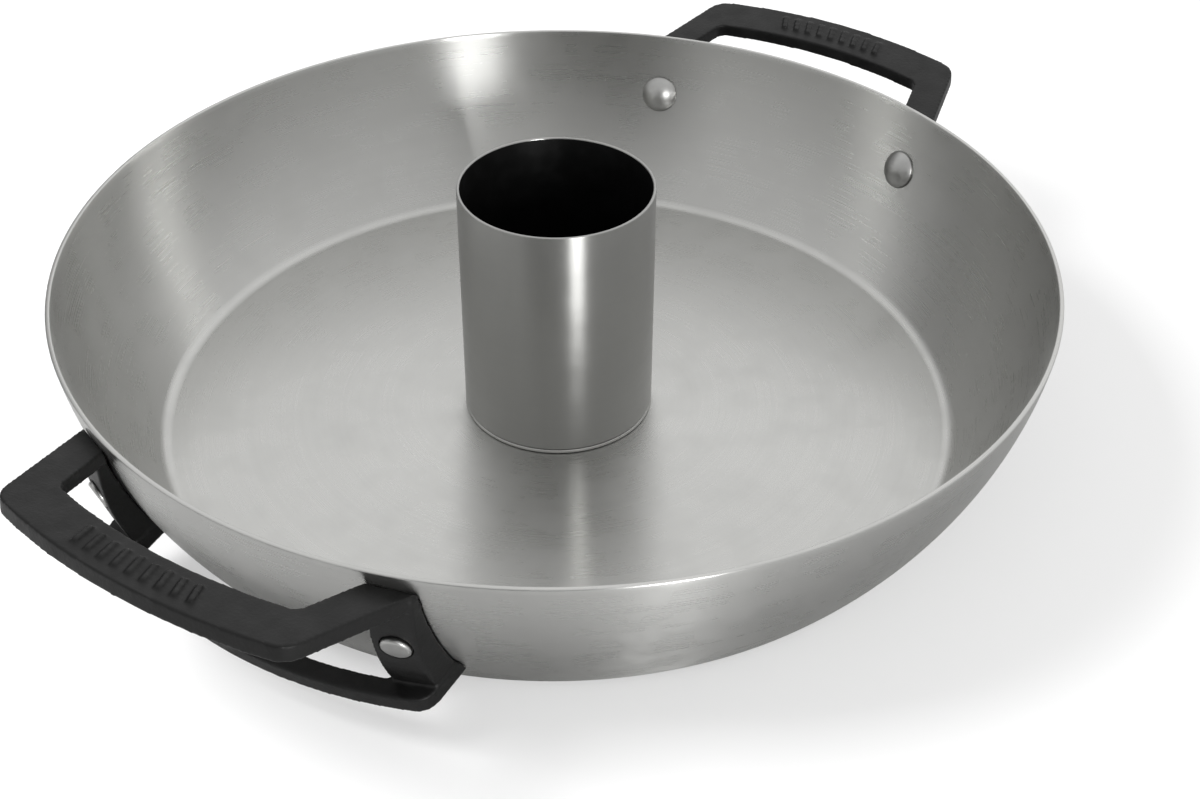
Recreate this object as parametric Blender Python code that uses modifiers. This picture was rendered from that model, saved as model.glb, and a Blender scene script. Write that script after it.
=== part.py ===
"""Poultry roasting pan: a round bowl of sheet steel, two cast loop handles riveted to its wall,
and an open cup that stands on a low seat in the middle and lifts out.

The origin is at the middle of the flat underside, +Z is up, and the handles point along +X and -X.
All sizes are in metres, and angles are in degrees.
"""

from math import asin, atan2, cos, pi, radians, sin, sqrt

import bmesh
import bpy
from mathutils import Matrix, Vector

# Bowl
RIM_RADIUS = 0.160
RIM_HEIGHT = 0.061
SHEET = 0.0015
RIM_LEAN = 8.1  # the wall's lean from upright, at the rim
WALL_CURVE = 0.1203  # radius of the wall's bulge
CORNER_RADIUS = 0.007  # between the wall and the flat base

# Handles: a rising grip and a falling bar, joined by two flanges that lie on the wall
GRIP_REACH = 0.0333  # from the rim to the grip's outer edge, along its slope
GRIP_WIDTH = 0.0158
GRIP_THICKNESS = 0.005
GRIP_DROP = 0.0028  # its top face below the rim, at the rim's radius
GRIP_SLOPE = 10.0
GRIP_ROOT_HALF = 0.0605  # half the width over both arms, where they meet the wall
ARM_WIDTH = 0.012
ARM_TAPER = 13.0  # how far each arm leans inwards
GRIP_CORNER = 0.008
WINDOW_CORNER = 0.004

FLANGE_HALF = 0.0608  # half the width over both flanges
WINDOW_HALF = 0.0487  # half the clear width between them
FLANGE_TOP_DROP = 0.006
FLANGE_REACH = 0.002  # from the rim's radius out to the front face, at its top
FLANGE_BEND_DROP = 0.012  # the front face is upright down to here, then curves in
FLANGE_FRONT_CURVE = 0.07
FLANGE_BOTTOM_DROP = 0.0442

BAR_REACH = 0.0  # from the rim's radius out to the bar's outer edge
BAR_WIDTH = 0.006
BAR_TOP_DROP = 0.0462  # at the rim's radius
BAR_THICKNESS = 0.0056
BAR_SLOPE = -12.0  # falls outwards, where the grip rises
BAR_LIP = 0.0006  # how far the bar's feet stand proud of the flanges' sides
BAR_CORNER = 0.0065
BAR_WINDOW_CORNER = 0.003

# Rivets
RIVET_AZIMUTH = 20.0
RIVET_DROP = 0.0218
SHANK_RADIUS = 0.0025
DOME_RADIUS = 0.0068
DOME_HEIGHT = 0.0032
UPSET_RADIUS = 0.0044
UPSET_HEIGHT = 0.0017
RIVET_GRIP = 0.005  # casting left under the outer head
SPOT_CLEARANCE = 0.0004
DOME_LIFT = 0.0005  # keeps the flat of the domed head off the curved wall

# Cup and the seat that it stands on
CUP_RADIUS = 0.0315
CUP_SHEET = 0.001
CUP_HEIGHT = 0.081
SEAT_SHEET = 0.0012
SPIGOT_HEIGHT = 0.0035
SPIGOT_CLEARANCE = 0.0005
BASE_SKIRT = 0.006

GAP = 0.0003  # between pieces that touch
BOWL_STEPS = 72
CUTTER_STEPS = 180
CUP_STEPS = 48
RIVET_STEPS = 16
WALL_STEPS = 7
CORNER_STEPS = 5
ARC_STEPS = 14
CUTTER_REACH = 0.02  # how far a cutter runs past what it cuts

STEEL = ("brushed_steel", (0.58, 0.58, 0.56), 0.34, 1.0)
CUP_STEEL = ("cup_steel", (0.55, 0.55, 0.53), 0.28, 1.0)
RIVET_STEEL = ("rivet_steel", (0.50, 0.50, 0.48), 0.30, 1.0)
CAST_IRON = ("black_cast_iron", (0.022, 0.022, 0.022), 0.55, 0.0)


def clear_scene():
    for item in list(bpy.data.objects):
        bpy.data.objects.remove(item, do_unlink=True)


def new_collection(name, hidden=False):
    group = bpy.data.collections.new(name)
    bpy.context.scene.collection.children.link(group)
    group.hide_render = hidden
    return group


def material(finish):
    name, colour, roughness, metallic = finish
    made = bpy.data.materials.get(name)
    if made is None:
        made = bpy.data.materials.new(name)
        made.use_nodes = True
        shader = made.node_tree.nodes["Principled BSDF"]
        shader.inputs["Base Color"].default_value = (*colour, 1.0)
        shader.inputs["Roughness"].default_value = roughness
        shader.inputs["Metallic"].default_value = metallic
    return made


def add_object(name, mesh, group, finish=None):
    """Puts a mesh in the scene. With no finish it is a cutter, which isn't rendered."""
    made = bpy.data.objects.new(name, mesh)
    group.objects.link(made)
    if finish is None:
        made.hide_render = True
        made.display_type = "WIRE"
    elif not mesh.materials:
        mesh.materials.append(material(finish))
    return made


def turned(name, profile, steps, group, finish=None, closed=False):
    """A solid turned about Z from a profile of (radius, height) points."""
    points = [(radius, 0.0, height) for radius, height in profile]
    edges = [(i, i + 1) for i in range(len(points) - 1)]
    if closed:
        edges.append((len(points) - 1, 0))
    mesh = bpy.data.meshes.new(name)
    mesh.from_pydata(points, edges, [])
    made = add_object(name, mesh, group, finish)
    screw = made.modifiers.new("Turn", "SCREW")
    screw.steps = screw.render_steps = steps
    screw.use_merge_vertices = True
    screw.merge_threshold = 0.00001
    screw.use_smooth_shade = True
    return made


def plate(name, outline, thickness, group):
    """A flat plate with its middle plane at Z = 0, as a mesh that Booleans can use."""
    curve = bpy.data.curves.new(name, "CURVE")
    curve.dimensions = "2D"
    curve.fill_mode = "BOTH"
    curve.extrude = thickness / 2
    spline = curve.splines.new("POLY")
    spline.points.add(len(outline) - 1)
    for point, (x, y) in zip(spline.points, outline):
        point.co = (x, y, 0.0, 1.0)
    spline.use_cyclic_u = True
    guide = bpy.data.objects.new(name + "_outline", curve)
    group.objects.link(guide)
    mesh = frozen(guide)
    mesh.name = name
    bpy.data.objects.remove(guide, do_unlink=True)
    return add_object(name, mesh, group)


def block(name, low, high, group):
    bpy.ops.mesh.primitive_cube_add(size=1.0)
    made = bpy.context.active_object
    made.name = name
    for holder in list(made.users_collection):
        holder.objects.unlink(made)
    group.objects.link(made)
    made.location = [(a + b) / 2 for a, b in zip(low, high)]
    made.scale = [b - a for a, b in zip(low, high)]
    made.hide_render = True
    made.display_type = "WIRE"
    return made


def frozen(source):
    """The object's evaluated mesh, with its loose caps welded."""
    bpy.context.view_layer.update()
    graph = bpy.context.evaluated_depsgraph_get()
    mesh = bpy.data.meshes.new_from_object(source.evaluated_get(graph))
    shape = bmesh.new()
    shape.from_mesh(mesh)
    bmesh.ops.remove_doubles(shape, verts=shape.verts, dist=0.000001)
    shape.to_mesh(mesh)
    shape.free()
    return mesh


def boolean(target, operation, tool):
    cut = target.modifiers.new(operation.title() + " " + tool.name, "BOOLEAN")
    cut.operation = operation
    cut.solver = "EXACT"
    cut.object = tool


def wall_centre():
    """(radius, height) of the middle of the wall's bulge."""
    lean = radians(RIM_LEAN)
    return RIM_RADIUS - WALL_CURVE * cos(lean), RIM_HEIGHT + WALL_CURVE * sin(lean)


def wall_point(lean, offset=0.0):
    """The wall's outer surface where it leans this far from upright, moved outwards by offset."""
    radius, height = wall_centre()
    reach = WALL_CURVE + offset
    return radius + reach * cos(lean), height - reach * sin(lean)


def wall_lean(drop, offset=0.0):
    """The wall's lean, this far below the rim."""
    return asin((WALL_CURVE * sin(radians(RIM_LEAN)) + drop) / (WALL_CURVE + offset))


def wall_profile(offset):
    """The wall and the corner below it, from the rim down to the flat base."""
    centre_radius, centre_height = wall_centre()
    first = wall_lean(0.0, offset)
    last = asin((centre_height - CORNER_RADIUS) / (WALL_CURVE - CORNER_RADIUS))
    points = [wall_point(first + (last - first) * i / WALL_STEPS, offset) for i in range(WALL_STEPS)]
    corner_radius = centre_radius + (WALL_CURVE - CORNER_RADIUS) * cos(last)
    for i in range(CORNER_STEPS + 1):
        lean = last + (pi / 2 - last) * i / CORNER_STEPS
        reach = CORNER_RADIUS + offset
        points.append((corner_radius + reach * cos(lean), CORNER_RADIUS - reach * sin(lean)))
    return points


def arc(centre, radius, first, last, steps):
    return [
        (
            centre[0] + radius * cos(first + (last - first) * i / steps),
            centre[1] + radius * sin(first + (last - first) * i / steps),
        )
        for i in range(steps + 1)
    ]


def bay(radius, root, half_width, taper, corner):
    """An arc about the pan's axis with a side running in from each end to x = root, from +Y to -Y.

    Each side starts half_width from the middle and leans inwards by taper on its way out, and it
    meets the arc in a rounded corner.
    """
    lean = radians(taper)
    along = Vector((cos(lean), -sin(lean)))
    inwards = Vector((-sin(lean), -cos(lean)))
    start = Vector((root, half_width)) + inwards * corner
    travel = sqrt(start.dot(along) ** 2 - start.length_squared + (radius - corner) ** 2)
    centre = start + along * (travel - start.dot(along))
    turn = atan2(centre.y, centre.x)
    side = [(root, half_width)] + arc(centre, corner, pi / 2 - lean, turn, CORNER_STEPS)
    front = arc((0.0, 0.0), radius, turn, -turn, ARC_STEPS)
    return side + front[1:-1] + [(x, -y) for x, y in reversed(side)]


def horseshoe(outer, inner):
    return outer + inner[::-1]


def turned_flanges(group):
    """The two flanges, not yet cut to the wall: the front face is an arc down from the grip."""
    top = RIM_HEIGHT - FLANGE_TOP_DROP
    bend = RIM_HEIGHT - FLANGE_BEND_DROP
    bottom = RIM_HEIGHT - FLANGE_BOTTOM_DROP
    start = RIM_RADIUS + FLANGE_REACH
    last = asin((bend - bottom) / FLANGE_FRONT_CURVE)
    curve = arc((start - FLANGE_FRONT_CURVE, bend), FLANGE_FRONT_CURVE, 0.0, -last, WALL_STEPS)
    back = curve[-1][0] - CUTTER_REACH
    profile = [(start, top)] + curve + [(back, bottom), (back, top)]
    return turned("flange_stock", profile, CUTTER_STEPS, group, closed=True)


def tipped(made, slope, drop, thickness):
    """Slopes a flat plate outwards: its top is this far below the rim at the rim's radius."""
    turn = Matrix.Rotation(-radians(slope), 4, "Y")
    hinge = Vector((RIM_RADIUS, 0.0, RIM_HEIGHT - drop))
    made.matrix_world = Matrix.Translation(hinge) @ turn @ Matrix.Translation(
        Vector((-RIM_RADIUS, 0.0, -thickness / 2))
    )
    return made


def grip_plate(group):
    root = RIM_RADIUS - CUTTER_REACH
    taper = radians(ARM_TAPER)
    widest = GRIP_ROOT_HALF + (RIM_RADIUS * cos(asin(GRIP_ROOT_HALF / RIM_RADIUS)) - root) * sin(taper)
    edge = RIM_RADIUS + GRIP_REACH
    outer = bay(edge, root, widest, ARM_TAPER, GRIP_CORNER)
    inner = bay(edge - GRIP_WIDTH, root, widest - ARM_WIDTH / cos(taper), ARM_TAPER, WINDOW_CORNER)
    made = plate("grip_plate", horseshoe(outer, inner), GRIP_THICKNESS, group)
    return tipped(made, GRIP_SLOPE, GRIP_DROP, GRIP_THICKNESS)


def lower_bar(group):
    edge = RIM_RADIUS + BAR_REACH
    root = edge - 2 * CUTTER_REACH
    outer = bay(edge, root, FLANGE_HALF + BAR_LIP, 0.0, BAR_CORNER)
    inner = bay(edge - BAR_WIDTH, root, WINDOW_HALF - BAR_LIP, 0.0, BAR_WINDOW_CORNER)
    made = plate("lower_bar", horseshoe(outer, inner), BAR_THICKNESS, group)
    return tipped(made, BAR_SLOPE, BAR_TOP_DROP, BAR_THICKNESS)


def wall_cutter(group):
    """The bowl's outer shape, grown by the gap, up past the rim."""
    wall = wall_profile(GAP)
    above = RIM_HEIGHT + CUTTER_REACH
    profile = [(0.0, above), (wall[0][0], above)] + wall + [(0.0, wall[-1][1])]
    return turned("wall_cutter", profile, CUTTER_STEPS, group)


def rivet_place(azimuth):
    """World matrix of a rivet: its origin on the wall's inner surface, its Z pointing outwards."""
    lean = wall_lean(RIVET_DROP, -SHEET)
    radius, height = wall_point(lean, -SHEET)
    turn = radians(azimuth)
    outwards = Vector((cos(turn) * cos(lean), sin(turn) * cos(lean), -sin(lean)))
    place = outwards.to_track_quat("Z", "Y").to_matrix().to_4x4()
    place.translation = (radius * cos(turn), radius * sin(turn), height)
    return place


def rivet_cutter(name, azimuth, group):
    """The shank's hole through wall and casting, and the flat spot that the outer head sits on."""
    hole = SHANK_RADIUS + GAP
    spot = UPSET_RADIUS + SPOT_CLEARANCE
    seat = SHEET + GAP + RIVET_GRIP
    profile = [
        (0.0, seat + CUTTER_REACH),
        (spot, seat + CUTTER_REACH),
        (spot, seat),
        (hole, seat),
        (hole, -CUTTER_REACH / 4),
        (0.0, -CUTTER_REACH / 4),
    ]
    made = turned(name, profile, RIVET_STEPS, group)
    made.matrix_world = rivet_place(azimuth)
    return made


def build_rivet(name, azimuth, group):
    """A solid rivet: domed head inside the pan, shank, and a low upset head on the casting."""
    seat = SHEET + 2 * GAP + RIVET_GRIP
    rounding = UPSET_HEIGHT / 2
    upset = [(0.0, seat + UPSET_HEIGHT)]
    upset += arc((UPSET_RADIUS - rounding, seat + rounding), rounding, pi / 2, 0.0, 3)
    upset += [(UPSET_RADIUS, seat), (SHANK_RADIUS, seat)]
    dome_curve = (DOME_RADIUS**2 + DOME_HEIGHT**2) / (2 * DOME_HEIGHT)
    crown = asin(DOME_RADIUS / dome_curve)
    middle = (0.0, DOME_HEIGHT - DOME_LIFT - dome_curve)
    dome = [(x, -z - 2 * DOME_LIFT) for x, z in arc(middle, dome_curve, pi / 2 - crown, pi / 2, CORNER_STEPS)]
    dome[-1] = (0.0, dome[-1][1])
    profile = upset + [(SHANK_RADIUS, -DOME_LIFT)] + dome
    made = turned(name, profile, RIVET_STEPS, group, RIVET_STEEL)
    made.matrix_world = rivet_place(azimuth)
    return made


def build_bowl(group, cutters):
    profile = [(0.0, SHEET)] + wall_profile(-SHEET)[::-1] + wall_profile(0.0) + [(0.0, 0.0)]
    bowl = turned("pan_bowl", profile, BOWL_STEPS, group, STEEL)
    for cutter in cutters:
        boolean(bowl, "DIFFERENCE", cutter)
    return bowl


def build_handles(group, tools, cutters):
    """One casting, made on the +X side, and its copy turned half round."""
    casting = turned_flanges(tools)
    tall = 2 * RIM_HEIGHT
    reach = RIM_RADIUS + FLANGE_REACH + CUTTER_REACH
    trim = block("flange_trim", (0, -FLANGE_HALF, -tall), (reach, FLANGE_HALF, tall), tools)
    window = block("flange_window", (0, -WINDOW_HALF, -tall), (reach, WINDOW_HALF, tall), tools)
    boolean(casting, "INTERSECT", trim)
    boolean(casting, "DIFFERENCE", window)
    boolean(casting, "UNION", grip_plate(tools))
    boolean(casting, "UNION", lower_bar(tools))
    boolean(casting, "DIFFERENCE", wall_cutter(tools))
    for cutter in cutters:
        boolean(casting, "DIFFERENCE", cutter)
    mesh = frozen(casting)
    mesh.name = "handle"
    mesh.shade_smooth()
    mesh.set_sharp_from_angle(angle=radians(30))
    mesh.materials.clear()
    mesh.materials.append(material(CAST_IRON))
    add_object("handle_right", mesh, group, CAST_IRON)
    left = add_object("handle_left", mesh, group, CAST_IRON)
    left.rotation_euler.z = pi


def build_cup_seat(group):
    """A pressed cap on the pan's floor: a flange as wide as the cup, and a spigot that centres it."""
    low = SHEET + GAP
    flange = low + SEAT_SHEET
    top = flange + SPIGOT_HEIGHT
    spigot = CUP_RADIUS - CUP_SHEET - SPIGOT_CLEARANCE
    hollow = spigot - SEAT_SHEET
    profile = [
        (0.0, top),
        (spigot, top),
        (spigot, flange),
        (CUP_RADIUS, flange),
        (CUP_RADIUS, low),
        (hollow, low),
        (hollow, top - SEAT_SHEET),
        (0.0, top - SEAT_SHEET),
    ]
    return turned("cup_seat", profile, CUP_STEPS, group, STEEL)


def build_cup(group):
    """The cup: a tube that drops over the spigot, with a base pressed in above it."""
    foot = SHEET + SEAT_SHEET + 2 * GAP
    inner = CUP_RADIUS - CUP_SHEET
    top = foot + CUP_HEIGHT
    wall = [(inner, top), (CUP_RADIUS, top), (CUP_RADIUS, foot), (inner, foot)]
    turned("cup_tube", wall, CUP_STEPS, group, CUP_STEEL, closed=True)
    floor = foot - GAP + SPIGOT_HEIGHT + SPIGOT_CLEARANCE
    edge = inner - GAP
    skirt = floor + BASE_SKIRT
    base = [
        (0.0, floor + CUP_SHEET),
        (edge - CUP_SHEET, floor + CUP_SHEET),
        (edge - CUP_SHEET, skirt),
        (edge, skirt),
        (edge, floor),
        (0.0, floor),
    ]
    turned("cup_base", base, CUP_STEPS, group, CUP_STEEL)


def main():
    clear_scene()
    parts = new_collection("roasting_pan")
    tools = new_collection("cutters", hidden=True)
    rivets = {
        "right_front": -RIVET_AZIMUTH,
        "right_rear": RIVET_AZIMUTH,
        "left_front": 180.0 + RIVET_AZIMUTH,
        "left_rear": 180.0 - RIVET_AZIMUTH,
    }
    cutters = {
        place: rivet_cutter("rivet_cutter_" + place, azimuth, tools) for place, azimuth in rivets.items()
    }
    build_bowl(parts, cutters.values())
    build_handles(parts, tools, [cutters["right_front"], cutters["right_rear"]])
    for place, azimuth in rivets.items():
        build_rivet("rivet_" + place, azimuth, parts)
    build_cup_seat(parts)
    build_cup(parts)


main()
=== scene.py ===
"""The roasting pan's finish: a turned steel bowl, cast loop handles, rivets and a lift-out cup."""

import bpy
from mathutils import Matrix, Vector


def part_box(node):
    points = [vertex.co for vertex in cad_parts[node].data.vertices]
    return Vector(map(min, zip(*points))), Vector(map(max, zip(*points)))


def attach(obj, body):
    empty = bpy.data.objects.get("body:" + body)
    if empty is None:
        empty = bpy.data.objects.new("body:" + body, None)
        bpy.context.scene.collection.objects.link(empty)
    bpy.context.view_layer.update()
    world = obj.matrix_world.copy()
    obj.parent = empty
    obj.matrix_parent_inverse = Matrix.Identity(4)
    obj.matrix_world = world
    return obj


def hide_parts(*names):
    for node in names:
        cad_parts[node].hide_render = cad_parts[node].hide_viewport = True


bl_info = {
    "name": "Roasting Pan",
    "version": (1, 0, 0),
    "blender": (4, 5, 0),
    "location": "View3D > Sidebar > Roasting Pan",
    "description": "Builds a round roasting pan with cast handles and a lift-out cup",
    "category": "Add Mesh",
}

from math import asin, cos, pi, radians, sin, tau

import bmesh
import bpy
from bpy.props import FloatProperty, FloatVectorProperty, IntProperty, PointerProperty
from mathutils import Matrix, Vector

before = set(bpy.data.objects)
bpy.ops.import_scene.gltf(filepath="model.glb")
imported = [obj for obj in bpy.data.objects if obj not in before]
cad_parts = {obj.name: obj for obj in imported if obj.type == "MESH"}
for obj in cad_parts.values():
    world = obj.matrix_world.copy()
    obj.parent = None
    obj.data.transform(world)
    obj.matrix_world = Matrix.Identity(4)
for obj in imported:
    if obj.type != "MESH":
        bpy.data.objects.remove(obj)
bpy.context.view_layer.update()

BOWL_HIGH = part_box("pan_bowl")[1]
SEAT_LOW, SEAT_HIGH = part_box("cup_seat")
TUBE_LOW, TUBE_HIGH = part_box("cup_tube")
BASE_LOW, BASE_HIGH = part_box("cup_base")
GRIP_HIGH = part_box("handle_right")[1]

# Points closer than this are one point, on a turned piece and on a CAD mesh (metres)
WELD = 0.000002
CAD_WELD = 0.000005

# The spigot's clearance in the cup's base, the bright edge above the painted shade inside the
# cup, and how far the shaded faces may lie outside the cup's inner radius
SPIGOT_PLAY = 0.0002
SHADE_START = 0.0008
SHADE_SLACK = 0.0001

# Radii of the extra rings of points in the bowl's flat floor
FLOOR_RINGS = (0.1, 0.07, 0.04)

# The ribs on a grip: length, width and height, then how far they stand proud of the grip's
# top and sit in from its outer edge, and how the top slopes
RIB_PITCH = 0.005
RIB_SIZE = (0.0078, 0.0018, 0.0024)
RIB_PROUD = 0.0011
RIB_INSET = 0.0085
RIB_SLANT = radians(18)
GRIP_SLOPE = radians(10)

# Segments round each turned piece
BOWL_STEPS = 240
CUP_STEPS = 160
BASE_STEPS = 128
RIVET_STEPS = 64

RIVETS = {
    "rivet_left_front": "left_front",
    "rivet_left_rear": "left_rear",
    "rivet_right_front": "right_front",
    "rivet_right_rear": "right_rear",
}


# Properties


class RoastingPanSizes(bpy.types.PropertyGroup):
    """Sizes of the pan's own pieces."""

    sheet: FloatProperty(
        name="Bowl Sheet",
        description="Thickness of the bowl's steel",
        default=0.0015,
        unit="LENGTH",
    )
    rim_lean: FloatProperty(
        name="Rim Lean",
        description="How far the wall leans out at the rim",
        default=radians(8.1),
        subtype="ANGLE",
    )
    wall_curve: FloatProperty(
        name="Wall Curve",
        description="Radius of the wall's bulge",
        default=0.1203,
        unit="LENGTH",
    )
    corner: FloatProperty(
        name="Corner",
        description="Radius between wall and floor, outside",
        default=0.007,
        unit="LENGTH",
    )
    rivet_drop: FloatProperty(
        name="Rivet Drop",
        description="Rivets' height below the rim",
        default=0.0218,
        unit="LENGTH",
    )
    dome_radius: FloatProperty(
        name="Dome Radius",
        description="Radius of a rivet's head inside the pan",
        default=0.0068,
        unit="LENGTH",
    )
    dome_height: FloatProperty(
        name="Dome Height",
        description="Height of a rivet's head inside the pan",
        default=0.0032,
        unit="LENGTH",
    )
    upset_radius: FloatProperty(
        name="Upset Radius",
        description="Radius of a rivet's outer end",
        default=0.0044,
        unit="LENGTH",
    )
    upset_height: FloatProperty(
        name="Upset Height",
        description="Height of a rivet's outer end",
        default=0.0017,
        unit="LENGTH",
    )
    shank_radius: FloatProperty(
        name="Shank Radius", description="Radius of a rivet", default=0.0025, unit="LENGTH"
    )
    rivet_grip: FloatProperty(
        name="Rivet Grip",
        description="Casting under a rivet's outer end",
        default=0.005,
        unit="LENGTH",
    )
    rivet_lift: FloatProperty(
        name="Rivet Lift",
        description="Domed head's stand-off from the wall",
        default=0.0005,
        unit="LENGTH",
    )
    play: FloatProperty(
        name="Play",
        description="Clearance between parts that touch",
        default=0.0003,
        unit="LENGTH",
    )
    rivet_azimuth: FloatProperty(
        name="Rivet Azimuth",
        description="Angle from a handle's middle to each rivet",
        default=radians(20),
        subtype="ANGLE",
    )
    cup_sheet: FloatProperty(
        name="Cup Sheet",
        description="Thickness of the cup's steel",
        default=0.001,
        unit="LENGTH",
    )
    seat_sheet: FloatProperty(
        name="Seat Sheet",
        description="Thickness of the cup's seat",
        default=0.0012,
        unit="LENGTH",
    )
    cast_grain: FloatProperty(
        name="Cast Cell",
        description="Cell size that rounds the castings' edges",
        default=0.00042,
        unit="LENGTH",
    )
    ribs: IntProperty(name="Grip Ribs", description="Raised ribs on each grip", default=9, min=0)


class RoastingPanFinish(bpy.types.PropertyGroup):
    """Colours and gloss."""

    steel: FloatVectorProperty(
        name="Steel",
        description="Colour of the bowl's steel",
        default=(0.56, 0.56, 0.545),
        subtype="COLOR",
    )
    # Painted shade: the cup's steel is a darker copy of the bowl's steel, standing for the shade
    # on the cup
    cup: FloatVectorProperty(
        name="Cup Steel With Painted Shade",
        description="Colour of the cup's steel",
        default=(0.4, 0.4, 0.389),
        subtype="COLOR",
    )
    rivet: FloatVectorProperty(
        name="Rivet Steel",
        description="Colour of the rivets",
        default=(0.5, 0.5, 0.49),
        subtype="COLOR",
    )
    casting: FloatVectorProperty(
        name="Casting",
        description="Colour of the cast handles",
        default=(0.006, 0.006, 0.0059),
        subtype="COLOR",
    )
    # Painted shade: near black for the cup's inside and floor, standing for the deep shade down
    # the tube
    painted_shade_inside: FloatVectorProperty(
        name="Cup Painted Shade",
        description="Colour inside the cup",
        default=(0.012, 0.012, 0.012),
        subtype="COLOR",
    )


class RoastingPanStage(bpy.types.PropertyGroup):
    """Floor, lights and camera."""

    distance: FloatProperty(
        name="Camera Distance",
        description="From the middle of the rim",
        default=0.58179,
        unit="LENGTH",
    )
    azimuth: FloatProperty(
        name="Camera Azimuth",
        description="Round the pan's axis from +X",
        default=radians(215.58),
        subtype="ANGLE",
    )
    elevation: FloatProperty(
        name="Camera Elevation",
        description="Above the rim's plane",
        default=radians(32.314),
        subtype="ANGLE",
    )
    lens: FloatProperty(name="Lens", description="Focal length on a 36 mm sensor", default=54.084)


# Shader node groups


def new_group(name, inputs, outputs):
    """A shader node group with float inputs {name: default} and outputs [name]."""
    group = bpy.data.node_groups.new(name, "ShaderNodeTree")
    for label, value in inputs.items():
        made = group.interface.new_socket(label, in_out="INPUT", socket_type="NodeSocketFloat")
        made.default_value = value
    for label in outputs:
        group.interface.new_socket(label, in_out="OUTPUT", socket_type="NodeSocketFloat")
    enter = group.nodes.new("NodeGroupInput")
    leave = group.nodes.new("NodeGroupOutput")
    return group, enter.outputs, leave.inputs


def calc(tree, operation, first, second=None):
    node = tree.nodes.new("ShaderNodeMath")
    node.operation = operation
    for socket, value in zip(node.inputs, (first, second)):
        if value is None:
            continue
        if isinstance(value, (int, float)):
            socket.default_value = value
        else:
            tree.links.new(value, socket)
    return node.outputs[0]


def blend(tree, first, share, second):
    """A share of one value and the rest of another."""
    kept = calc(tree, "MULTIPLY", first, share)
    return calc(tree, "ADD", kept, calc(tree, "MULTIPLY", second, 1.0 - share))


def noise(tree, vector, scale, detail, fourth=None):
    node = tree.nodes.new("ShaderNodeTexNoise")
    node.noise_dimensions = "4D" if fourth is not None else "3D"
    node.inputs["Scale"].default_value = scale
    node.inputs["Detail"].default_value = detail
    tree.links.new(vector, node.inputs["Vector"])
    if fourth is not None:
        tree.links.new(fourth, node.inputs["W"])
    return node.outputs["Fac"]


def ramp(tree, value, low, high, out_low=0.0, out_high=1.0):
    node = tree.nodes.new("ShaderNodeMapRange")
    limits = {"From Min": low, "From Max": high, "To Min": out_low, "To Max": out_high}
    for name, number in limits.items():
        node.inputs[name].default_value = number
    tree.links.new(value, node.inputs["Value"])
    return node.outputs["Result"]


def turned_grain_group():
    """Fine lines that run round the Z axis, as a lathe's brush leaves them, with no seam."""
    group, given, result = new_group(
        "turned_grain", {"Lines Per Metre": 1400.0, "Drift": 0.7}, ["Lines", "Broad Lines"]
    )
    place = group.nodes.new("ShaderNodeTexCoord").outputs["Object"]
    split = group.nodes.new("ShaderNodeSeparateXYZ")
    group.links.new(place, split.inputs[0])
    x, y, z = split.outputs
    squares = calc(group, "ADD", calc(group, "MULTIPLY", x, x), calc(group, "MULTIPLY", y, y))
    radius = calc(group, "SQRT", squares)
    safe = calc(group, "MAXIMUM", radius, 0.001)
    drift = given["Drift"]
    join = group.nodes.new("ShaderNodeCombineXYZ")
    group.links.new(calc(group, "MULTIPLY", calc(group, "DIVIDE", x, safe), drift), join.inputs[0])
    group.links.new(calc(group, "MULTIPLY", calc(group, "DIVIDE", y, safe), drift), join.inputs[1])
    lines = given["Lines Per Metre"]
    group.links.new(calc(group, "MULTIPLY", radius, lines), join.inputs[2])
    up = calc(group, "MULTIPLY", z, lines)
    group.links.new(noise(group, join.outputs[0], 1.0, 3.0, up), result["Lines"])
    group.links.new(noise(group, join.outputs[0], 0.16, 2.0, up), result["Broad Lines"])
    return group


def handling_group():
    """Soft cloudy marks, as wiping and handling leave on bright steel."""
    group, given, result = new_group("handling_marks", {"Size": 26.0}, ["Cloud", "Smear"])
    place = group.nodes.new("ShaderNodeTexCoord").outputs["Object"]
    scale = group.nodes.new("ShaderNodeVectorMath")
    scale.operation = "SCALE"
    group.links.new(place, scale.inputs[0])
    group.links.new(given["Size"], scale.inputs["Scale"])
    cloud = noise(group, scale.outputs[0], 1.0, 4.0)
    group.links.new(ramp(group, cloud, 0.32, 0.68), result["Cloud"])
    smear = noise(group, scale.outputs[0], 3.1, 6.0)
    group.links.new(ramp(group, smear, 0.45, 0.75), result["Smear"])
    return group


def cast_skin_group():
    """The pitted skin of a sand casting under black enamel."""
    group, given, result = new_group(
        "cast_skin", {"Pits Per Metre": 900.0}, ["Height", "Gloss Loss"]
    )
    place = group.nodes.new("ShaderNodeTexCoord").outputs["Object"]
    scale = group.nodes.new("ShaderNodeVectorMath")
    scale.operation = "SCALE"
    group.links.new(place, scale.inputs[0])
    group.links.new(given["Pits Per Metre"], scale.inputs["Scale"])
    fine = noise(group, scale.outputs[0], 1.0, 4.0)
    broad = noise(group, scale.outputs[0], 0.18, 3.0)
    height = blend(group, fine, 0.55, broad)
    group.links.new(height, result["Height"])
    group.links.new(ramp(group, broad, 0.35, 0.65), result["Gloss Loss"])
    return group


def place_group(tree, name, builder, **values):
    """Adds a node group, made the first time it is asked for."""
    node = tree.nodes.new("ShaderNodeGroup")
    node.node_tree = bpy.data.node_groups.get(name) or builder()
    for label, value in values.items():
        node.inputs[label.replace("_", " ")].default_value = value
    return node.outputs


def tint(tree, colour, factor, darkest, shader):
    """Multiplies a colour by between darkest and 1."""
    mix = tree.nodes.new("ShaderNodeMix")
    mix.data_type = "RGBA"
    mix.inputs["A"].default_value = tuple(part * darkest for part in colour) + (1.0,)
    mix.inputs["B"].default_value = (*colour, 1.0)
    tree.links.new(factor, mix.inputs["Factor"])
    tree.links.new(mix.outputs["Result"], shader.inputs["Base Color"])


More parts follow.
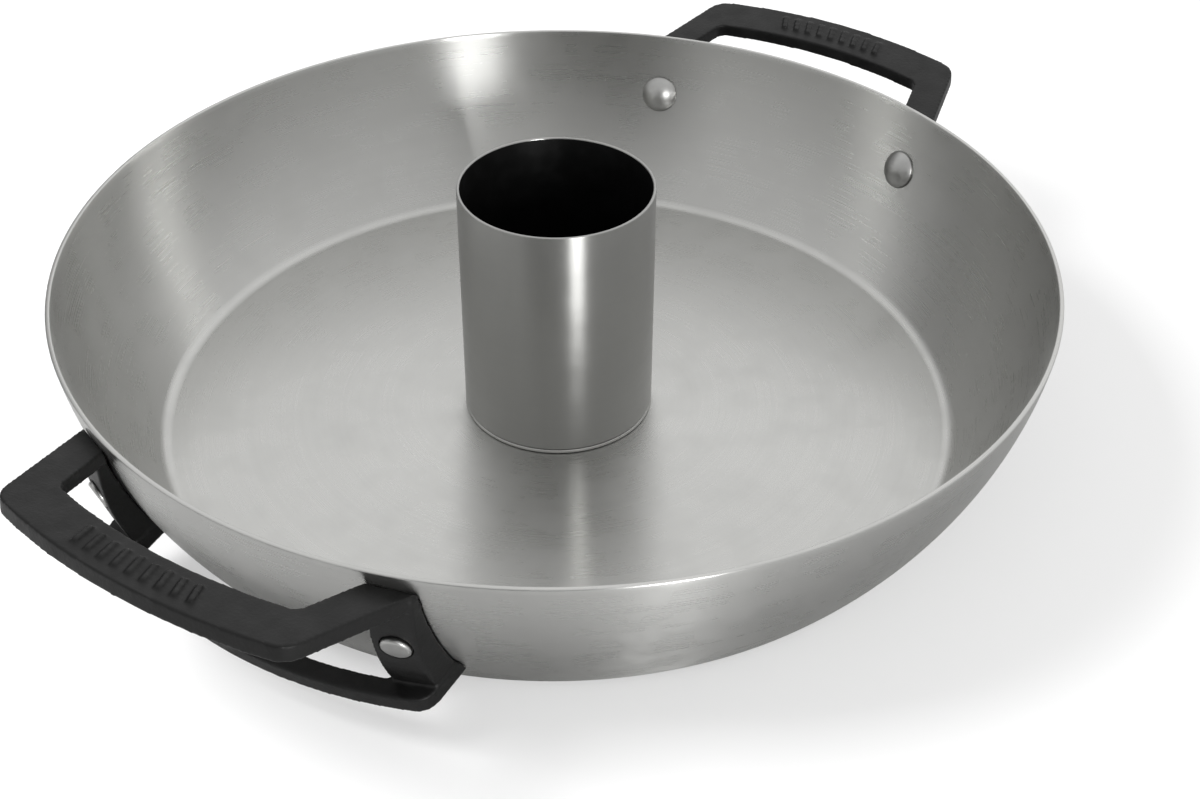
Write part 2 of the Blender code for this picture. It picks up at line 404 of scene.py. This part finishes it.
def bump(tree, height, distance, strength, shader):
    node = tree.nodes.new("ShaderNodeBump")
    node.inputs["Distance"].default_value = distance
    node.inputs["Strength"].default_value = strength
    tree.links.new(height, node.inputs["Height"])
    tree.links.new(node.outputs["Normal"], shader.inputs["Normal"])


def new_material(name):
    made = bpy.data.materials.new(name)
    made.use_nodes = True
    return made, made.node_tree, made.node_tree.nodes["Principled BSDF"]


def stretch_across_lines(tree, shader, amount):
    """Draws reflections out across the turned lines, which run round the Z axis."""
    shader.inputs["Anisotropic"].default_value = amount
    place = tree.nodes.new("ShaderNodeTexCoord").outputs["Object"]
    around = tree.nodes.new("ShaderNodeVectorMath")
    around.operation = "CROSS_PRODUCT"
    around.inputs[0].default_value = (0.0, 0.0, 1.0)
    tree.links.new(place, around.inputs[1])
    across = tree.nodes.new("ShaderNodeVectorMath")
    across.operation = "CROSS_PRODUCT"
    tree.links.new(tree.nodes.new("ShaderNodeNewGeometry").outputs["Normal"], across.inputs[0])
    tree.links.new(around.outputs[0], across.inputs[1])
    tree.links.new(across.outputs[0], shader.inputs["Tangent"])


def turned_steel(name, colour, rough, lines, stretch, marks):
    """Steel brushed on a lathe, with handling marks."""
    made, tree, shader = new_material(name)
    shader.inputs["Metallic"].default_value = 1.0
    grain = place_group(tree, "turned_grain", turned_grain_group, Lines_Per_Metre=lines)
    wipes = place_group(tree, "handling_marks", handling_group, Size=marks)
    tint(tree, colour, blend(tree, grain["Broad Lines"], 0.55, wipes["Cloud"]), 0.94, shader)
    gloss = calc(
        tree,
        "ADD",
        ramp(tree, grain["Lines"], 0.3, 0.7, rough - 0.02, rough + 0.02),
        ramp(tree, wipes["Smear"], 0.0, 1.0, 0.0, 0.05),
    )
    tree.links.new(gloss, shader.inputs["Roughness"])
    bump(tree, grain["Lines"], 0.00001, 0.13, shader)
    stretch_across_lines(tree, shader, stretch)
    return made


def satin_rivet(colour):
    made, tree, shader = new_material("satin_rivet_steel")
    shader.inputs["Metallic"].default_value = 1.0
    wipes = place_group(tree, "handling_marks", handling_group, Size=190.0)
    tint(tree, colour, wipes["Cloud"], 0.85, shader)
    tree.links.new(ramp(tree, wipes["Smear"], 0.0, 1.0, 0.36, 0.46), shader.inputs["Roughness"])
    bump(tree, wipes["Cloud"], 0.00008, 0.4, shader)
    return made


def black_casting(colour):
    made, tree, shader = new_material("black_cast_enamel")
    skin = place_group(tree, "cast_skin", cast_skin_group, Pits_Per_Metre=900.0)
    tint(tree, colour, skin["Gloss Loss"], 0.7, shader)
    shader.inputs["Specular IOR Level"].default_value = 0.28
    roughness = ramp(tree, skin["Gloss Loss"], 0.0, 1.0, 0.40, 0.52)
    tree.links.new(roughness, shader.inputs["Roughness"])
    bump(tree, skin["Height"], 0.00025, 0.5, shader)
    return made


# Painted shade: a near-black steel for the inside of the cup, standing for the shade down the
# tube; its cloudy handling marks are its own
def cup_painted_shade(colour):
    made, tree, shader = new_material("cup_painted_shade_steel")
    shader.inputs["Metallic"].default_value = 0.6
    wipes = place_group(tree, "handling_marks", handling_group, Size=60.0)
    tint(tree, colour, wipes["Cloud"], 0.6, shader)
    tree.links.new(ramp(tree, wipes["Smear"], 0.0, 1.0, 0.34, 0.48), shader.inputs["Roughness"])
    return made


def finish(name):
    """A material by name, made the first time it is asked for."""
    made = bpy.data.materials.get(name)
    if made:
        return made
    colours = bpy.context.scene.roasting_pan_finish
    if name == "turned_bowl_steel":
        return turned_steel(name, tuple(colours.steel), 0.28, 2400.0, 0.95, 24.0)
    # Painted shade: the cup's steel is coloured darker than the bowl's
    if name == "turned_cup_steel":
        return turned_steel(name, tuple(colours.cup), 0.33, 2800.0, 0.95, 40.0)
    if name == "satin_rivet_steel":
        return satin_rivet(tuple(colours.rivet))
    if name == "black_cast_enamel":
        return black_casting(tuple(colours.casting))
    if name == "cup_painted_shade_steel":
        return cup_painted_shade(tuple(colours.painted_shade_inside))
    raise ValueError("there is no finish named " + name)


# Mesh helpers


def add_piece(name, shape, finishes, body, node):
    """Puts a bmesh in the scene as a smooth piece that stands for a CAD node."""
    bmesh.ops.recalc_face_normals(shape, faces=shape.faces)
    for face in shape.faces:
        face.smooth = True
    mesh = bpy.data.meshes.new(name)
    shape.to_mesh(mesh)
    shape.free()
    for label in finishes:
        mesh.materials.append(finish(label))
    piece = bpy.data.objects.new(name, mesh)
    bpy.context.scene.collection.objects.link(piece)
    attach(piece, body)
    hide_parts(node)
    return piece


def start_line(shape, points):
    """A chain of edges through a few (radius, height) points, and its last vertex."""
    last = None
    for radius, height in points:
        made = bmesh.ops.create_vert(shape, co=(radius, 0.0, height))["vert"][0]
        if last:
            shape.edges.new((last, made))
        last = made
    return last


def swing(shape, vert, centre, angle, steps):
    """Draws an arc from a vertex about (radius, height), down and inwards, and gives its end."""
    made = bmesh.ops.spin(
        shape,
        geom=[vert],
        cent=(centre[0], 0.0, centre[1]),
        axis=(0.0, 1.0, 0.0),
        angle=angle,
        steps=steps,
        use_merge=False,
    )
    return next(item for item in made["geom_last"] if isinstance(item, bmesh.types.BMVert))


def run_to(shape, vert, radius, height):
    """Draws a straight edge from a vertex."""
    made = bmesh.ops.create_vert(shape, co=(radius, 0.0, height))["vert"][0]
    shape.edges.new((vert, made))
    return made


def turn_round(shape, steps):
    """Spins everything once round the Z axis and closes the seam and the poles."""
    bmesh.ops.spin(
        shape,
        geom=shape.verts[:] + shape.edges[:],
        cent=(0.0, 0.0, 0.0),
        axis=(0.0, 0.0, 1.0),
        angle=tau,
        steps=steps,
        use_merge=True,
    )
    bmesh.ops.remove_doubles(shape, verts=shape.verts, dist=WELD)
    bmesh.ops.recalc_face_normals(shape, faces=shape.faces)


def round_edges(shape, chosen, width, segments):
    bmesh.ops.bevel(
        shape,
        geom=chosen,
        offset=width,
        offset_type="OFFSET",
        affect="EDGES",
        segments=segments,
        profile=0.5,
        material=-1,
        clamp_overlap=True,
    )


def sharp_edges(shape, least=30.0):
    paired = [edge for edge in shape.edges if len(edge.link_faces) == 2]
    return [edge for edge in paired if edge.calc_face_angle() > radians(least)]


def settled(piece):
    """Applies a piece's modifiers."""
    bpy.context.view_layer.update()
    graph = bpy.context.evaluated_depsgraph_get()
    mesh = bpy.data.meshes.new_from_object(piece.evaluated_get(graph))
    old = piece.data
    name = old.name
    piece.modifiers.clear()
    piece.data = mesh
    bpy.data.meshes.remove(old)
    mesh.name = name
    return piece


# Bowl


def wall_centre(sizes):
    """(radius, height) of the middle of the wall's bulge."""
    return (
        BOWL_HIGH.x - sizes.wall_curve * cos(sizes.rim_lean),
        BOWL_HIGH.z + sizes.wall_curve * sin(sizes.rim_lean),
    )


def corner_lean(sizes):
    """The wall's lean where it meets the corner."""
    return asin((wall_centre(sizes)[1] - sizes.corner) / (sizes.wall_curve - sizes.corner))


def build_bowl(sizes):
    """One skin of sheet, drawn down the outside, turned, then given its thickness."""
    centre = wall_centre(sizes)
    lean = corner_lean(sizes)
    reach = sizes.wall_curve - sizes.corner
    corner = (centre[0] + reach * cos(lean), sizes.corner)
    shape = bmesh.new()
    end = start_line(shape, [(BOWL_HIGH.x, BOWL_HIGH.z)])
    end = swing(shape, end, centre, lean - sizes.rim_lean, 30)
    end = swing(shape, end, corner, pi / 2 - lean, 16)
    for radius in FLOOR_RINGS:
        end = run_to(shape, end, radius, 0.0)
    run_to(shape, end, 0.0, 0.0)
    turn_round(shape, BOWL_STEPS)
    bmesh.ops.solidify(shape, geom=shape.faces[:], thickness=sizes.sheet)
    bmesh.ops.recalc_face_normals(shape, faces=shape.faces)
    rim = [edge for edge in sharp_edges(shape, 50.0) if edge.verts[0].co.z > BOWL_HIGH.z * 0.8]
    round_edges(shape, rim, sizes.sheet * 0.3, 3)
    return shape


# Rivets


def rivet_place(sizes, azimuth):
    """World matrix of a rivet: its origin on the wall's inner face, its Z pointing outwards."""
    centre = wall_centre(sizes)
    reach = sizes.wall_curve - sizes.sheet
    lean = asin((sizes.wall_curve * sin(sizes.rim_lean) + sizes.rivet_drop) / reach)
    outwards = Vector((cos(azimuth) * cos(lean), sin(azimuth) * cos(lean), -sin(lean)))
    place = outwards.to_track_quat("Z", "Y").to_matrix().to_4x4()
    radius, height = centre[0] + reach * cos(lean), centre[1] - reach * sin(lean)
    place.translation = (radius * cos(azimuth), radius * sin(azimuth), height)
    return place


def build_rivet(sizes):
    """A domed head below, a shank, and a low rounded end above, on the Z axis."""
    seat = sizes.sheet + 2 * sizes.play + sizes.rivet_grip
    rounding = sizes.upset_height / 2
    flat = sizes.upset_radius - rounding
    shape = bmesh.new()
    end = start_line(shape, [(0.0, seat + sizes.upset_height), (flat, seat + sizes.upset_height)])
    end = swing(shape, end, (flat, seat + rounding), pi / 2, 8)
    for radius, height in (
        (sizes.upset_radius, seat),
        (sizes.shank_radius, seat),
        (sizes.shank_radius, -sizes.rivet_lift),
        (sizes.dome_radius, -sizes.rivet_lift),
    ):
        end = run_to(shape, end, radius, height)
    curve = (sizes.dome_radius**2 + sizes.dome_height**2) / (2 * sizes.dome_height)
    crown = asin(sizes.dome_radius / curve)
    swing(shape, end, (0.0, curve - sizes.dome_height - sizes.rivet_lift), crown, 12)
    turn_round(shape, RIVET_STEPS)
    return shape


def rivet_azimuth(sizes, corner):
    side = -1.0 if corner.endswith("front") else 1.0
    if corner.startswith("left"):
        return pi - side * sizes.rivet_azimuth
    return side * sizes.rivet_azimuth


# Operators


class ROASTPAN_OT_bowl(bpy.types.Operator):
    """Build the turned steel bowl"""

    bl_idname = "roastpan.bowl"
    bl_label = "Bowl"

    def execute(self, context):
        sizes = context.scene.roasting_pan_sizes
        shape = build_bowl(sizes)
        add_piece("bowl", shape, ["turned_bowl_steel"], "pan", "pan_bowl")
        return {"FINISHED"}


class ROASTPAN_OT_cup(bpy.types.Operator):
    """Build the cup, its base and the seat that it stands on"""

    bl_idname = "roastpan.cup"
    bl_label = "Cup"

    def execute(self, context):
        sizes = context.scene.roasting_pan_sizes
        outer, inner = TUBE_HIGH.x, TUBE_HIGH.x - sizes.cup_sheet
        tube = bmesh.new()
        start_line(tube, [(outer, TUBE_LOW.z), (outer, TUBE_HIGH.z)])
        turn_round(tube, CUP_STEPS)
        bmesh.ops.recalc_face_normals(tube, faces=tube.faces)
        bmesh.ops.solidify(tube, geom=tube.faces[:], thickness=sizes.cup_sheet)
        bmesh.ops.recalc_face_normals(tube, faces=tube.faces)
        round_edges(tube, sharp_edges(tube, 60.0), sizes.cup_sheet * 0.35, 3)
        for face in tube.faces:
            middle = face.calc_center_median()
            inside = Vector((middle.x, middle.y)).length < inner + SHADE_SLACK
            # Painted shade: inner faces below the bright top band take the near-black material
            face.material_index = int(inside and middle.z < TUBE_HIGH.z - SHADE_START)
        finishes = ["turned_cup_steel", "cup_painted_shade_steel"]
        add_piece("cup_wall", tube, finishes, "cup", "cup_tube")

        base = bmesh.new()
        start_line(
            base,
            [
                (0.0, BASE_LOW.z + sizes.cup_sheet),
                (BASE_HIGH.x - sizes.cup_sheet, BASE_LOW.z + sizes.cup_sheet),
                (BASE_HIGH.x - sizes.cup_sheet, BASE_HIGH.z),
                (BASE_HIGH.x, BASE_HIGH.z),
                (BASE_HIGH.x, BASE_LOW.z),
                (0.0, BASE_LOW.z),
            ],
        )
        turn_round(base, BASE_STEPS)
        round_edges(base, sharp_edges(base, 60.0), sizes.cup_sheet * 0.3, 2)
        # Painted shade: the cup's floor is all near black
        add_piece("cup_floor", base, ["cup_painted_shade_steel"], "cup", "cup_base")

        spigot = BASE_HIGH.x - SPIGOT_PLAY
        flange = SEAT_LOW.z + sizes.seat_sheet
        seat = bmesh.new()
        start_line(
            seat,
            [
                (0.0, SEAT_HIGH.z),
                (spigot, SEAT_HIGH.z),
                (spigot, flange),
                (SEAT_HIGH.x, flange),
                (SEAT_HIGH.x, SEAT_LOW.z),
                (spigot - sizes.seat_sheet, SEAT_LOW.z),
                (spigot - sizes.seat_sheet, SEAT_HIGH.z - sizes.seat_sheet),
                (0.0, SEAT_HIGH.z - sizes.seat_sheet),
            ],
        )
        turn_round(seat, CUP_STEPS)
        round_edges(seat, sharp_edges(seat, 60.0), sizes.seat_sheet * 0.3, 3)
        add_piece("cup_stand", seat, ["turned_bowl_steel"], "pan", "cup_seat")
        return {"FINISHED"}


class ROASTPAN_OT_handles(bpy.types.Operator):
    """Round off the two castings and raise the grip ribs"""

    bl_idname = "roastpan.handles"
    bl_label = "Handles"

    def execute(self, context):
        sizes = context.scene.roasting_pan_sizes
        for node in ("handle_left", "handle_right"):
            shape = bmesh.new()
            shape.from_mesh(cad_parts[node].data)
            bmesh.ops.remove_doubles(shape, verts=shape.verts, dist=CAD_WELD)
            side = 1.0 if node == "handle_right" else -1.0
            add_ribs(shape, sizes, side)
            name = node.replace("handle", "casting")
            piece = add_piece(name, shape, ["black_cast_enamel"], "pan", node)
            cells = piece.modifiers.new("Cells", "REMESH")
            cells.mode = "VOXEL"
            cells.voxel_size = sizes.cast_grain
            cells.use_smooth_shade = True
            soften = piece.modifiers.new("Soften", "SMOOTH")
            soften.factor = 0.5
            soften.iterations = 7
            settled(piece)
        return {"FINISHED"}


def turn(shape, verts, angle, axis):
    """Turns vertices about an axis through the origin."""
    bmesh.ops.rotate(shape, cent=(0, 0, 0), matrix=Matrix.Rotation(angle, 3, axis), verts=verts)


def add_ribs(shape, sizes, side):
    """Low slanted bars on the grip's top face."""
    reach = GRIP_HIGH.x - RIB_INSET
    top = GRIP_HIGH.z - RIB_INSET * sin(GRIP_SLOPE) / cos(GRIP_SLOPE)
    middle = top - RIB_SIZE[2] / 2 + RIB_PROUD
    for index in range(sizes.ribs):
        along = (index - (sizes.ribs - 1) / 2) * RIB_PITCH / reach
        around = along if side > 0 else along + pi
        made = bmesh.ops.create_cube(shape, size=1.0)["verts"]
        bmesh.ops.scale(shape, vec=RIB_SIZE, verts=made)
        turn(shape, made, RIB_SLANT, "Z")
        turn(shape, made, -GRIP_SLOPE, "Y")
        bmesh.ops.translate(shape, vec=(reach, 0.0, middle), verts=made)
        turn(shape, made, around, "Z")


class ROASTPAN_OT_rivets(bpy.types.Operator):
    """Build the four rivets"""

    bl_idname = "roastpan.rivets"
    bl_label = "Rivets"

    def execute(self, context):
        sizes = context.scene.roasting_pan_sizes
        for node, corner in RIVETS.items():
            shape = build_rivet(sizes)
            place = rivet_place(sizes, rivet_azimuth(sizes, corner))
            bmesh.ops.transform(shape, matrix=place, verts=shape.verts)
            add_piece("pin_" + corner, shape, ["satin_rivet_steel"], "pan", node)
        return {"FINISHED"}


# Stage

WHITE = (1.0, 1.0, 1.0, 1.0)
LAMP_AIM_HEIGHT = 0.04
BRIGHT_SIDE_TURN = radians(12)

# The paper under the pan: half its width, its stand-off, and its finish
PAPER_HALF = 4.0
PAPER_DROP = 0.0002
PAPER_TONE = 0.42
PAPER_ROUGHNESS = 0.9
PAPER_GLOW = 0.45

# How the camera is turned off the middle of the rim
CAMERA_YAW = radians(-1.3146)
CAMERA_PITCH = radians(-4.7993)
CAMERA_ROLL = radians(0.5343)


def add_light(name, azimuth, elevation, distance, size, power):
    """A rectangular lamp that faces the middle of the pan."""
    lamp = bpy.data.lights.new(name, "AREA")
    lamp.shape = "RECTANGLE"
    lamp.size, lamp.size_y = size
    lamp.energy = power
    holder = bpy.data.objects.new(name, lamp)
    bpy.context.scene.collection.objects.link(holder)
    away = toward(azimuth, elevation)
    holder.location = Vector((0.0, 0.0, LAMP_AIM_HEIGHT)) + away * distance
    holder.rotation_euler = away.to_track_quat("Z", "Y").to_euler()
    return holder


def facing(tree, direction):
    """How nearly a direction in the room is this one."""
    node = tree.nodes.new("ShaderNodeVectorMath")
    node.operation = "DOT_PRODUCT"
    node.inputs[1].default_value = direction
    tree.links.new(tree.nodes.new("ShaderNodeTexCoord").outputs["Generated"], node.inputs[0])
    return node.outputs["Value"]


def toward(azimuth, elevation):
    """A direction, from angles in degrees."""
    turn, lift = radians(azimuth), radians(elevation)
    return Vector((cos(turn) * cos(lift), sin(turn) * cos(lift), sin(lift)))


def light_room(tree, bright_side):
    """A room brighter on one side, with a dark doorway and a dark figure in it."""
    wall = facing(tree, (cos(bright_side), sin(bright_side), 0.9))
    glow = ramp(tree, wall, 0.25, 1.25, 0.7, 1.1)
    figure = ramp(tree, facing(tree, toward(203.0, 9.0)), 0.88, 0.988, 1.0, 0.02)
    doorway = ramp(tree, facing(tree, toward(79.0, 5.0)), 0.79, 0.97, 1.0, 0.2)
    light = calc(tree, "MULTIPLY", calc(tree, "MULTIPLY", glow, figure), doorway)
    background = tree.nodes["Background"]
    background.inputs["Color"].default_value = WHITE
    tree.links.new(light, background.inputs["Strength"])


def build_floor():
    """White paper, with a glow of its own that only the camera sees."""
    ground = bmesh.new()
    bmesh.ops.create_grid(ground, x_segments=1, y_segments=1, size=PAPER_HALF)
    mesh = bpy.data.meshes.new("studio_floor")
    ground.to_mesh(mesh)
    ground.free()
    paper, tree, shader = new_material("white_paper")
    shader.inputs["Base Color"].default_value = (PAPER_TONE, PAPER_TONE, PAPER_TONE, 1.0)
    shader.inputs["Roughness"].default_value = PAPER_ROUGHNESS
    shader.inputs["Emission Color"].default_value = WHITE
    seen = tree.nodes.new("ShaderNodeLightPath").outputs["Is Camera Ray"]
    tree.links.new(calc(tree, "MULTIPLY", seen, PAPER_GLOW), shader.inputs["Emission Strength"])
    mesh.materials.append(paper)
    floor = bpy.data.objects.new("studio_floor", mesh)
    floor.location.z = -PAPER_DROP
    return floor


def build_camera(stage):
    """A camera set by its place round the rim's middle, then turned a little off it."""
    lens = bpy.data.cameras.new("photographer")
    lens.sensor_width = 36.0
    lens.sensor_fit = "HORIZONTAL"
    lens.lens = stage.lens
    lens.clip_start, lens.clip_end = 0.01, 50.0
    camera = bpy.data.objects.new("photographer", lens)
    away = Vector(
        (
            cos(stage.azimuth) * cos(stage.elevation),
            sin(stage.azimuth) * cos(stage.elevation),
            sin(stage.elevation),
        )
    )
    forward = -away
    right = forward.cross(Vector((0.0, 0.0, 1.0))).normalized()
    up = right.cross(forward)
    aim = Matrix.Rotation(CAMERA_YAW, 3, up) @ Matrix.Rotation(CAMERA_PITCH, 3, right)
    forward, right, up = aim @ forward, aim @ right, aim @ up
    roll = Matrix.Rotation(CAMERA_ROLL, 3, forward)
    axes = Matrix((roll @ right, roll @ up, -forward)).transposed()
    camera.matrix_world = axes.to_4x4()
    camera.location = Vector((0.0, 0.0, BOWL_HIGH.z)) + away * stage.distance
    return camera


class ROASTPAN_OT_stage(bpy.types.Operator):
    """Build the floor, the lights and the camera"""

    bl_idname = "roastpan.stage"
    bl_label = "Stage"

    def execute(self, context):
        scene = context.scene
        stage = scene.roasting_pan_stage
        floor = build_floor()
        scene.collection.objects.link(floor)

        world = bpy.data.worlds.new("studio")
        world.use_nodes = True
        light_room(world.node_tree, stage.azimuth + pi - BRIGHT_SIDE_TURN)
        scene.world = world
        key = add_light("key_softbox", 128.0, 44.0, 2.2, (0.9, 0.9), 60.0)
        floor_only = bpy.data.collections.new("floor_only")
        floor_only.objects.link(floor)
        key.light_linking.receiver_collection = floor_only
        add_light("strip_window", 236.5, 12.0, 1.5, (0.34, 0.6), 11.0)
        scene.view_settings.view_transform = "Standard"

        camera = build_camera(stage)
        scene.collection.objects.link(camera)
        scene.camera = camera
        return {"FINISHED"}


class ROASTPAN_PT_panel(bpy.types.Panel):
    """The roasting pan's pieces and settings"""

    bl_idname = "ROASTPAN_PT_panel"
    bl_label = "Roasting Pan"
    bl_space_type = "VIEW_3D"
    bl_region_type = "UI"
    bl_category = "Roasting Pan"

    def draw(self, context):
        for name in ("sizes", "finish", "stage"):
            settings = getattr(context.scene, "roasting_pan_" + name)
            box = self.layout.box()
            for item in settings.bl_rna.properties:
                if item.identifier not in ("name", "rna_type"):
                    box.prop(settings, item.identifier)
        for operator in OPERATORS:
            self.layout.operator(operator.bl_idname)


SETTINGS = {
    "roasting_pan_sizes": RoastingPanSizes,
    "roasting_pan_finish": RoastingPanFinish,
    "roasting_pan_stage": RoastingPanStage,
}
OPERATORS = (
    ROASTPAN_OT_bowl,
    ROASTPAN_OT_cup,
    ROASTPAN_OT_handles,
    ROASTPAN_OT_rivets,
    ROASTPAN_OT_stage,
)


def register():
    for name, kind in SETTINGS.items():
        bpy.utils.register_class(kind)
        setattr(bpy.types.Scene, name, PointerProperty(type=kind))
    for kind in (*OPERATORS, ROASTPAN_PT_panel):
        bpy.utils.register_class(kind)


def unregister():
    for kind in (ROASTPAN_PT_panel, *reversed(OPERATORS)):
        bpy.utils.unregister_class(kind)
    for name, kind in SETTINGS.items():
        delattr(bpy.types.Scene, name)
        bpy.utils.unregister_class(kind)


def main():
    register()
    for operator in OPERATORS:
        family, name = operator.bl_idname.split(".")
        getattr(getattr(bpy.ops, family), name)()


if __name__ == "__main__":
    main()
